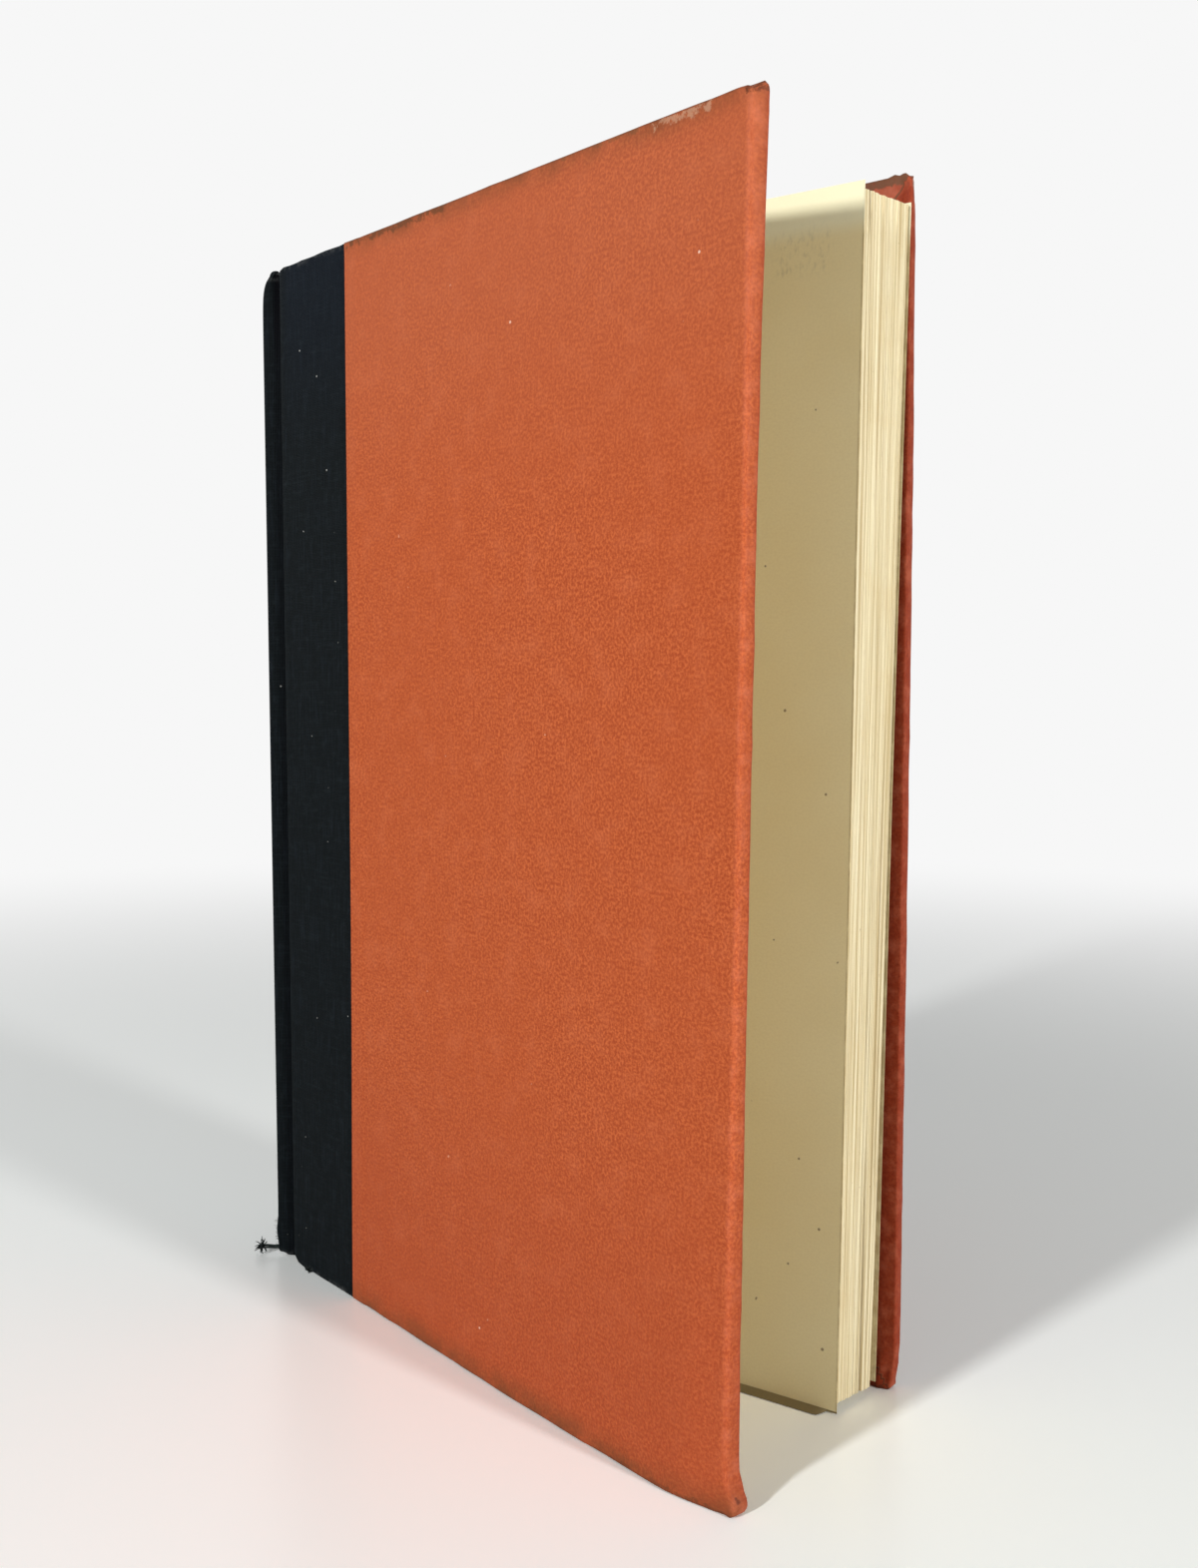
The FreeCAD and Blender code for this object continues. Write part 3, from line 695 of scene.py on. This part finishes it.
class Paint:
    """A material whose nodes are added one call at a time."""

    def __init__(self, name, roughness, specular=0.3):
        self.mat = bpy.data.materials.new(name)
        self.mat.use_nodes = True
        self.nodes = self.mat.node_tree.nodes
        self.shader = self.nodes["Principled BSDF"]
        self.shader.inputs["Roughness"].default_value = roughness
        self.shader.inputs["Specular IOR Level"].default_value = specular
        self.uv = self.node("ShaderNodeUVMap", uv_map="flat").outputs[0]
        self.place = self.node("ShaderNodeTexCoord").outputs["Object"]
        self.colour = None

    def node(self, kind, feeds=None, **settings):
        """A new node with its settings, and its inputs fed with values or other nodes' outputs."""
        node = self.nodes.new(kind)
        for key, value in settings.items():
            setattr(node, key, value)
        for key, source in (feeds or {}).items():
            if isinstance(source, (tuple, float, int)):
                node.inputs[key].default_value = source
            else:
                self.link(source, node.inputs[key])
        return node

    def link(self, a, b):
        self.mat.node_tree.links.new(a, b)

    def noise(self, scale, stretch=(1, 1, 1), detail=3.0, rough=0.55, source=None, offset=(0, 0, 0)):
        """Noise with features about scale millimetres across, stretched along each axis."""
        scales = tuple(1 / (scale * MM * s) for s in stretch)
        feeds = {"Vector": source or self.uv, "Scale": scales, "Location": offset}
        place = self.node("ShaderNodeMapping", feeds).outputs[0]
        feeds = {"Vector": place, "Scale": 1.0, "Detail": detail, "Roughness": rough}
        return self.node("ShaderNodeTexNoise", feeds).outputs["Fac"]

    def ramp(self, value, low, high, to_low=0.0, to_high=1.0):
        feeds = {"Value": value, "From Min": low, "From Max": high, "To Min": to_low, "To Max": to_high}
        return self.node("ShaderNodeMapRange", feeds, interpolation_type="SMOOTHSTEP").outputs[0]

    def rise(self, place, low, high, to_low=0.0, to_high=1.0):
        """A ramp over a length in millimetres."""
        return self.ramp(place, low * MM, high * MM, to_low, to_high)

    def patch(self, left, right, low, high, soft):
        """1 inside a rectangle of the flat map, in millimetres, easing to 0 over soft past each side."""
        across, up = self.axis(self.uv, "X"), self.axis(self.uv, "Y")
        inside = self.times(self.rise(across, left - soft, left), self.rise(across, right + soft, right))
        inside = self.times(inside, self.rise(up, low - soft, low))
        return self.times(inside, self.rise(up, high + soft, high))

    def dots(self, places):
        """1 on small marks of the flat map, each given as its place and radius in millimetres."""
        wander = self.noise(0.4, detail=2)
        marks = None
        for across, up, radius in places:
            centre = (across * MM, up * MM, 0)
            gap = self.node("ShaderNodeVectorMath", {0: self.uv, 1: centre}, operation="DISTANCE")
            uneven = self.math("MULTIPLY_ADD", wander, 0.25 * radius * MM, gap.outputs["Value"])
            mark = self.rise(uneven, radius * 1.1, radius * 0.6)
            marks = mark if marks is None else self.most(marks, mark)
        return marks

    def math(self, kind, a, b=0.0, c=0.0):
        return self.node("ShaderNodeMath", {0: a, 1: b, 2: c}, operation=kind).outputs[0]

    def times(self, a, b):
        return self.math("MULTIPLY", a, b)

    def most(self, a, b):
        return self.math("MAXIMUM", a, b)

    def mix(self, amount, a, b):
        return self.node("ShaderNodeMix", {0: amount, 6: a, 7: b}, data_type="RGBA").outputs[2]

    def base(self, value, low, high, first, second):
        """Starts the colour, with the first tint where value is low and the second where it is high."""
        self.colour = self.mix(self.ramp(value, low, high), srgb(*first), srgb(*second))

    def over(self, amount, tint):
        """Lays a tint over the colour so far, as strongly as amount says."""
        self.colour = self.mix(amount, self.colour, srgb(*tint))

    def stain(self, value, low, high, amount, tint):
        """Lays up to amount of a tint over the colour, as value goes from low to high."""
        self.over(self.ramp(value, low, high, 0, amount), tint)

    def axis(self, vector, letter):
        return self.node("ShaderNodeSeparateXYZ", {0: vector}).outputs[letter]

    def bump(self, height, depth, strength, onto=None):
        """depth is in millimetres. onto is another bump's output."""
        feeds = {"Height": height, "Distance": depth * MM, "Strength": strength}
        if onto is not None:
            feeds["Normal"] = onto
        return self.node("ShaderNodeBump", feeds).outputs[0]

    def finish(self, normal=None, roughness=None):
        for key, source in (("Base Color", self.colour), ("Normal", normal), ("Roughness", roughness)):
            if source is not None:
                self.link(source, self.shader.inputs[key])
        return self.mat


def cover_paper_material(name, kept_and_shade_from, kept_and_shade_tints, marks):
    """Faded orange paper with soiled edges. Past the given place on the flat sheet it is deeper: the
    turn-ins' unfaded colour, and on the back cover, where that place lies before the fore-edge, darker tints
    as painted shade on the back board's fore-edge.
    """
    p = Paint(name, 0.6, 0.14)
    fine = p.noise(0.55, detail=4, rough=0.6)
    fibres = p.noise(0.9, stretch=(1, 3.0, 1), detail=3, rough=0.6)
    broad = p.noise(38, detail=3, rough=0.5)
    mid = p.noise(6, detail=4, rough=0.6)
    z = p.axis(p.uv, "Y")
    u = p.axis(p.uv, "X")
    p.base(fine, 0.36, 0.66, (163, 70, 34), (204, 104, 57))
    p.stain(fibres, 0.40, 0.75, 0.45, (160, 68, 34))
    p.stain(broad, 0.35, 0.7, 0.35, (180, 83, 42))
    p.stain(mid, 0.45, 0.75, 0.22, (208, 114, 74))
    p.over(p.rise(z, 70, 5, 0, 0.35), (160, 68, 40))
    p.over(p.rise(z, 150, 212, 0, 0.32), (178, 102, 72))
    edge_noise = p.noise(9, detail=5, rough=0.7, offset=(3, 7, 0))
    head = p.times(p.rise(z, HEIGHT - 5, HEIGHT + 0.4), p.ramp(edge_noise, 0.32, 0.7, 0.15, 1))
    tail = p.times(p.rise(z, 6, -0.4), p.ramp(edge_noise, 0.3, 0.65, 0.15, 1))
    p.over(p.times(p.most(head, tail), 0.8), (110, 66, 38))
    # deeper past the given place: the turn-ins' unfaded colour, and painted shade where the back cover's
    # place lies before its fore-edge
    inside = p.most(p.rise(u, FORE + kept_and_shade_from, FORE + kept_and_shade_from + 1.4),
                    p.most(p.rise(z, HEIGHT + 1.2, HEIGHT + 2.6), p.rise(z, -1.2, -2.6)))
    kept_and_shade = p.mix(p.ramp(fine, 0.36, 0.66), srgb(*kept_and_shade_tints[0]), srgb(*kept_and_shade_tints[1]))
    p.colour = p.mix(inside, p.colour, kept_and_shade)
    # painted light: the head turn-in inside the board is paler where the lamp's light falls over the front
    # cover's head edge
    painted_turn_in_light = p.times(p.rise(z, HEIGHT + 3.2, HEIGHT + 4.4), p.ramp(mid, 0.35, 0.6, 0.25, 0.7))
    p.over(painted_turn_in_light, (190, 106, 80))
    head_rim = p.times(p.rise(z, HEIGHT - 0.8, HEIGHT + 0.3), p.rise(z, HEIGHT + 4.0, HEIGHT + 2.6))
    tail_rim = p.times(p.rise(z, 0.8, -0.3), p.rise(z, -4.0, -2.6))
    rim = p.times(p.most(head_rim, tail_rim), p.ramp(edge_noise, 0.3, 0.6, 0.25, 0.9))
    p.over(rim, (84, 48, 28))
    patchy = p.noise(1.8, detail=5, rough=0.75, offset=(6, 1, 0))
    for where, amount, tint in marks:
        if isinstance(where[0], tuple):
            area = p.times(p.dots(where), amount)
        else:
            area = p.patch(*where)
            weight = WHOLE_MARK if amount == 1.0 else BROKEN_MARK
            broken = p.ramp(p.math("MULTIPLY_ADD", area, weight, patchy), 0.66, 0.78, 0, amount)
            area = p.times(p.ramp(area, 0.0, 0.4), broken)
        p.over(area, tint)
    specks = p.noise(1.6, detail=1, offset=(8, 2, 0))
    p.stain(specks, 0.80, 0.83, 0.5, (226, 170, 140))
    # paler along the fore-edge's outer arris: partly rubbed wear, partly a painted highlight on the rounded
    # edge
    rub_and_highlight_noise = p.noise(3.5, detail=4, rough=0.7, offset=(1, 5, 0))
    arris = p.times(p.rise(u, FORE - 1.6, FORE - 0.2), p.ramp(rub_and_highlight_noise, 0.4, 0.75, 0.0, 0.35))
    p.over(arris, (216, 124, 92))
    normal = p.bump(p.noise(0.35, detail=3), 0.03, 0.6)
    normal = p.bump(mid, 0.10, 0.22, onto=normal)
    return p.finish(normal, p.ramp(fine, 0.3, 0.7, 0.55, 0.70))


def book_cloth_material():
    """Black book cloth: thread ridges with slubs, painted shade in the groove, pale specks and rubbed ends.
    """
    p = Paint("book_cloth", 0.62, 0.045)
    weave = p.most(weave_line(p, "X", 0.40), weave_line(p, "Y", 0.34))
    slub = p.noise(0.5, stretch=(1, 16, 1), detail=3)
    slub_across = p.noise(0.5, stretch=(16, 1, 1), detail=3, offset=(5, 1, 0))
    p.base(weave, 0.2, 1.0, (1, 3, 5), (11, 17, 19))
    p.stain(slub, 0.45, 0.8, 0.5, (30, 37, 44))
    p.stain(slub_across, 0.48, 0.8, 0.4, (27, 34, 37))
    length = p.axis(p.uv, "X")
    z = p.axis(p.uv, "Y")
    blotch = p.noise(2.0, detail=4, rough=0.65, offset=(2, 9, 0))
    p.stain(blotch, 0.5, 0.75, 0.35, (32, 39, 43))
    # painted shade in the joint's groove, strongest towards the head where the groove gapes
    groove = p.times(p.rise(length, GROOVE_FROM, GROOVE_FROM + 1.0),
                     p.rise(length, GROOVE_TO, GROOVE_TO - 0.5))
    depth = p.rise(z, HEIGHT - 26, HEIGHT - 6, 0.35, 0.9)
    p.over(p.times(groove, depth), (1, 1, 5))
    blue = p.times(p.rise(z, HEIGHT - 45, HEIGHT), p.rise(length, 18, 24))
    p.over(p.times(blue, 0.28), (18, 27, 42))
    p.over(p.times(p.dots(CLOTH_SPECKS), 0.8), (196, 196, 190))
    specks = p.noise(1.5, detail=1)
    p.stain(specks, 0.79, 0.83, 0.8, (150, 150, 145))
    edge = p.most(p.rise(z, HEIGHT - 1.6, HEIGHT), p.rise(z, 1.6, 0))
    rub = p.times(edge, p.ramp(p.noise(2.2, detail=4, rough=0.7), 0.42, 0.7))
    p.over(p.times(rub, 0.6), (96, 98, 98))
    height = p.math("ADD", weave, p.times(slub, 0.5))
    return p.finish(p.bump(height, 0.05, 0.8))


def weave_line(p, letter, pitch):
    """Ridges of thread, a pitch in millimetres apart along one axis of the flat map."""
    wobble = p.noise(3, stretch=(8, 1, 1) if letter == "Y" else (1, 8, 1), detail=2)
    phase = p.math("MULTIPLY_ADD", p.axis(p.uv, letter), 2 * math.pi / (pitch * MM), p.times(wobble, 3.0))
    return p.math("MULTIPLY_ADD", p.math("SINE", phase), 0.5, 0.5)


def page_material():
    """The edges of the leaves, as lines of different shades that follow each leaf."""
    p = Paint("page_edges", 0.85, 0.1)
    fine = p.noise(0.11, stretch=(400, 1, 500), detail=2, rough=0.7, source=p.place)
    bands = p.noise(0.45, stretch=(160, 1, 260), detail=3, rough=0.6, source=p.place)
    blotch = p.noise(14, detail=4, rough=0.6, source=p.place)
    dust = p.noise(0.35, stretch=(1, 1, 4), detail=3, rough=0.7, source=p.place)
    specks = p.noise(0.9, stretch=(1, 1, 2.5), detail=2, source=p.place)
    p.base(fine, 0.36, 0.64, (218, 199, 154), (254, 243, 208))
    p.stain(bands, 0.50, 0.66, 0.7, (196, 170, 120))
    p.stain(blotch, 0.5, 0.8, 0.3, (222, 196, 142))
    p.stain(dust, 0.55, 0.8, 0.25, (180, 152, 104))
    p.stain(specks, 0.76, 0.80, 0.6, (165, 130, 82))
    return p.finish(p.bump(p.math("ADD", fine, bands), 0.10, 0.9))


def endpaper_material(name, light, dark, loose):
    """Cream foxed paper. A loose leaf has painted light on its head, a brown fore-edge, a faint smudge and
    painted shade along its tail.
    """
    p = Paint(name, 0.75, 0.2)
    cloudy = p.noise(45, detail=4, rough=0.5)
    tooth = p.noise(0.45, detail=3, rough=0.6)
    specks = p.noise(2.2, detail=1, rough=0.5, offset=(4.2, 1.7, 0))
    spots = p.noise(5.5, detail=1, rough=0.5, offset=(1.2, 9.7, 0))
    p.base(cloudy, 0.35, 0.7, light, dark)
    p.stain(tooth, 0.3, 0.75, 0.25, (232, 216, 166))
    p.stain(specks, 0.80, 0.83, 0.7, (120, 92, 55))
    p.stain(spots, 0.78, 0.85, 0.35, (160, 130, 84))
    p.over(p.times(p.dots(FOXING), 0.75), (112, 84, 52))
    if loose:
        up, across = p.axis(p.uv, "Y"), p.axis(p.uv, "X")
        strokes = p.ramp(p.noise(0.8, stretch=(0.9, 2.2, 1), detail=4, rough=0.6), 0.46, 0.72, 0, 0.22)
        p.over(p.times(p.patch(124, 132, 200, 206, 2.5), strokes), (130, 118, 88))
        past = p.math("MULTIPLY_ADD", up, -LEAF_LEAN / HEIGHT, across)
        fore = p.rise(past, LEAF_FORE - 0.35, LEAF_FORE - 0.1, 0, 0.6)
        fore = p.times(fore, p.ramp(p.noise(4, detail=4), 0.3, 0.6, 0.3, 1))
        p.over(fore, (176, 146, 92))
        # painted light: the head band is paler, standing in for the lamp's light that falls over the front
        # cover's head edge
        painted_head_light = p.rise(up, HEIGHT - FLY_HEAD - 9, HEIGHT - FLY_HEAD - 5, 0, 0.7)
        p.over(painted_head_light, (255, 254, 222))
        # painted shade: the tail and its creased foot are darker, standing in for the shade under the leaf's
        # tail
        p.over(p.rise(up, 0.62, 0.50, 0, 0.9), (112, 96, 62))
    return p.finish(p.bump(tooth, 0.03, 0.5))


def plain_material(name, low, high, scale, roughness, stretch=(1, 1, 1)):
    """A grain about scale millimetres across, between two colours."""
    p = Paint(name, roughness)
    grain = p.noise(scale, stretch=stretch, detail=4, rough=0.65, source=p.place)
    p.base(grain, 0.35, 0.7, low, high)
    return p.finish(p.bump(grain, 0.05, 0.6))


# The book

def paint(obj, material):
    obj.data.materials.clear()
    obj.data.materials.append(material)


def dress(piece, material, nodes=(), body=None):
    """Gives a new piece its material and slot, the nodes that it stands for and the body it rides on."""
    if body:
        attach(piece, body)
    if nodes:
        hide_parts(*nodes)
    paint(piece, material)
    return piece


COVER_PAPER = {
    "front": cover_paper_material("cover_paper", 1.6, ((148, 58, 32), (168, 74, 46)), FRONT_MARKS),
    # the back's deeper tints are darker and start before its fore-edge: painted shade on the back board's
    # fore-edge
    "back": cover_paper_material("back_paper", -0.6, ((134, 48, 24), (154, 62, 34)), BACK_MARKS),
}
BOOK_CLOTH = book_cloth_material()
LOOSE_ENDPAPER = endpaper_material("endpaper", (255, 243, 196), (250, 234, 182), loose=True)
PASTED_ENDPAPER = endpaper_material("pasted_endpaper", (232, 204, 148), (220, 190, 134), loose=False)
MILLBOARD = plain_material("millboard", (118, 110, 98), (156, 148, 132), 0.8, 0.9)
GAUZE = plain_material("gauze", (205, 198, 178), (230, 224, 206), 0.5, 0.9)
KRAFT = plain_material("kraft", (150, 112, 72), (178, 138, 92), 1.2, 0.85)
CARD = plain_material("inlay_card", (140, 122, 98), (170, 150, 122), 1.0, 0.85)
BAND = plain_material("band_thread", (196, 184, 150), (236, 226, 196), 0.6, 0.7, stretch=(4, 0.5, 4))
THREAD = plain_material("loose_thread", (14, 20, 20), (44, 54, 52), 0.5, 0.9)

CLOTH_NODES = {"front": ("front_cloth", "spine_cloth"), "back": ("back_cloth",)}
FORE_MARGIN = {"front": PASTE_MARGIN, "back": 2 * PASTE_MARGIN}
for side, hinge_y in (("front", FRONT_HINGE.y), ("back", BACK_HINGE.y)):
    cover = side + "_cover"
    dress(siding(side + "_siding", side), COVER_PAPER[side], [cover + "_paper"], cover)
    dress(board_core(side + "_core", side), MILLBOARD, [side + "_board"], cover)
    dress(mull_flap(side + "_gauze_wing", side), GAUZE, [side + "_mull_flap"], cover)
    leaf = free_leaf(side + "_flyleaf", side)
    dress(leaf, LOOSE_ENDPAPER, [side + "_free_endpaper"], "text_block")
    sheet = dress(cloth(side + "_case_cloth", side), BOOK_CLOTH, CLOTH_NODES[side])
    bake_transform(sheet)
    # The endpaper stays on the leaves at its fold and reaches the board's inner edge
    paste = pastedown(side + "_paste", side, FORE_MARGIN[side])
    dress(paste, PASTED_ENDPAPER, [side + "_pastedown"])
    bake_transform(paste)

dress(leaves("book_leaves"), page_material(), ["page_block"], "text_block")
dress(inlay("inlay_strip"), CARD, ["spine_inlay"], "text_block")
KEPT_NODES = {"spine_mull": GAUZE, "spine_lining": KRAFT, "head_band": BAND, "tail_band": BAND}
for node, material in KEPT_NODES.items():
    paint(frame["nodes"][node], material)

SPINE_TAIL = (HINGE_X - 0.9, FRONT_HINGE.y + 0.4, 1.6)      # where the tail of the spine has frayed
AWAY = (-0.80, -0.59, 0.06)                                 # the way its longest thread points
KNOT = tuple(SPINE_TAIL[i] + 4.0 * AWAY[i] for i in range(3))
tail_fray = frayed(SPINE_TAIL, AWAY, 4.6, 7, 0.06, 51, 0.24) + frayed(KNOT, AWAY, 2.3, 30, 1.0, 52, 0.15)
for i in range(16):
    root = (HINGE_X - 1.0, FRONT_HINGE.y + 0.3, 1.0 + 0.45 * i)
    tail_fray += frayed(root, (-0.8, -0.5, 0.2), 1.1, 2, 0.7, 60 + i, 0.06)
dress(tubes("tail_threads", tail_fray, 5), THREAD, body="text_block")
board_fray = []
for i in range(8):
    root = to_front(np.array([[11.8 + 0.28 * i, 0.2, 0.4]]))[0]
    board_fray += frayed(root, (-0.5, -0.8, -0.1), 1.3, 4, 0.8, 90 + i, 0.15)
dress(tubes("board_threads", board_fray, 6), THREAD, body="front_cover")


# Stage

FLOOR_HALF = 9.0               # metres
FLOOR_SEEN = 1.38              # how pale the camera sees the floor, where its real colour is 0.84 to 0.87
FADE_FROM = 0.22               # metres from the book at which the floor starts to fade into the background
FADE_TO = 0.85
BACKGROUND = 0.93
AMBIENT = 0.17                 # the world's light on the book


def floor_material():
    """A pale satin floor. The camera alone sees it paler than it is, and white at a distance."""
    p = Paint("floor", 0.28)
    grain = p.noise(60, detail=3, source=p.place)
    seen = p.node("ShaderNodeLightPath").outputs["Is Camera Ray"]
    real = p.mix(p.ramp(grain, 0.3, 0.7), (0.84, 0.84, 0.83, 1), (0.87, 0.87, 0.86, 1))
    p.colour = p.mix(seen, real, (FLOOR_SEEN * 0.97, FLOOR_SEEN, FLOOR_SEEN * 0.98, 1))
    p.finish()
    away = p.node("ShaderNodeVectorMath", {0: p.place}, operation="LENGTH")
    far = p.times(p.ramp(away.outputs["Value"], FADE_FROM, FADE_TO), seen)
    white = p.node("ShaderNodeEmission", {"Color": (BACKGROUND, BACKGROUND, BACKGROUND, 1)})
    both = p.node("ShaderNodeMixShader", {0: far, 1: p.shader.outputs[0], 2: white.outputs[0]})
    p.link(both.outputs[0], p.nodes["Material Output"].inputs["Surface"])
    return p.mat


def make_floor():
    mesh = bpy.data.meshes.new("floor")
    corners = [(x * FLOOR_HALF, y * FLOOR_HALF, 0) for x, y in ((-1, -1), (1, -1), (1, 1), (-1, 1))]
    mesh.from_pydata(corners, [], [(0, 1, 2, 3)])
    mesh.materials.append(floor_material())
    add_object("floor", mesh)


# Camera: placed and turned in millimetres and pixels of the 1200 by 1571 frame

IMAGE_HEIGHT = 1571
FOCAL = 1507.28
EYE = Vector((252.42 + HINGE_X, -233.15 - BLOCK_HALF - LEAF + MIDDLE_Y, 129.58))
YAW = -0.5911
PITCH = -0.0857
ROLL = 0.0041
AXIS_RIGHT = 44.58
AXIS_DOWN = 27.87
SENSOR = 36.0


def make_camera():
    forward = Vector((math.sin(YAW) * math.cos(PITCH), math.cos(YAW) * math.cos(PITCH), math.sin(PITCH)))
    right = Vector((math.cos(YAW), -math.sin(YAW), 0))
    up = right.cross(forward)
    right, up = (right * math.cos(ROLL) + up * math.sin(ROLL), up * math.cos(ROLL) - right * math.sin(ROLL))
    data = bpy.data.cameras.new("camera")
    data.sensor_fit = "VERTICAL"
    data.sensor_height = SENSOR
    data.lens = FOCAL * SENSOR / IMAGE_HEIGHT
    data.shift_x = -AXIS_RIGHT / IMAGE_HEIGHT
    data.shift_y = AXIS_DOWN / IMAGE_HEIGHT
    data.clip_start = 0.01
    camera = add_object("camera", data)
    turn = Matrix((right, up, -forward)).transposed().to_4x4()
    camera.matrix_world = Matrix.Translation(EYE * MM) @ turn
    bpy.context.scene.camera = camera
    return forward


make_floor()
forward = make_camera()

# Lights, in metres and degrees
LIGHT_AWAY = 1.2
AIM = Vector((0, 0, 0.11))
ahead = Vector((forward.x, forward.y, 0)).normalized()
aside = Vector((ahead.y, -ahead.x, 0))


def soft_light(name, azimuth, elevation, size, level):
    """A round lamp, azimuth degrees right of the camera. level is about what white renders as."""
    azimuth, elevation = math.radians(azimuth), math.radians(elevation)
    way = (-ahead * math.cos(azimuth) + aside * math.sin(azimuth)) * math.cos(elevation)
    way = way + Vector((0, 0, math.sin(elevation)))
    data = bpy.data.lights.new(name, "AREA")
    data.shape = "DISK"
    data.size = size
    data.energy = level * math.pi ** 2 * LIGHT_AWAY ** 2
    turn = (-way).to_track_quat("-Z", "Y").to_matrix().to_4x4()
    add_object(name, data).matrix_world = Matrix.Translation(AIM + way * LIGHT_AWAY) @ turn


soft_light("left", -40, 18.5, 0.10, 0.69)
soft_light("right", 47, 9, 0.10, 0.60)


def make_world():
    """White where the camera, a reflection or clear glass sees it, and a plain soft light elsewhere."""
    world = bpy.data.worlds.new("world")
    world.use_nodes = True
    nodes, links = world.node_tree.nodes, world.node_tree.links
    path = nodes.new("ShaderNodeLightPath")
    seen = path.outputs["Is Camera Ray"]
    for kind in ("Is Glossy Ray", "Is Transmission Ray"):
        either = nodes.new("ShaderNodeMath")
        either.operation = "MAXIMUM"
        links.new(seen, either.inputs[0])
        links.new(path.outputs[kind], either.inputs[1])
        seen = either.outputs[0]
    level = nodes.new("ShaderNodeMapRange")
    level.inputs["To Min"].default_value = AMBIENT
    level.inputs["To Max"].default_value = BACKGROUND
    links.new(seen, level.inputs["Value"])
    links.new(level.outputs[0], nodes["Background"].inputs["Strength"])
    nodes["Background"].inputs["Color"].default_value = (1, 1, 1, 1)
    bpy.context.scene.world = world


make_world()
bpy.context.scene.view_settings.view_transform = "Standard"
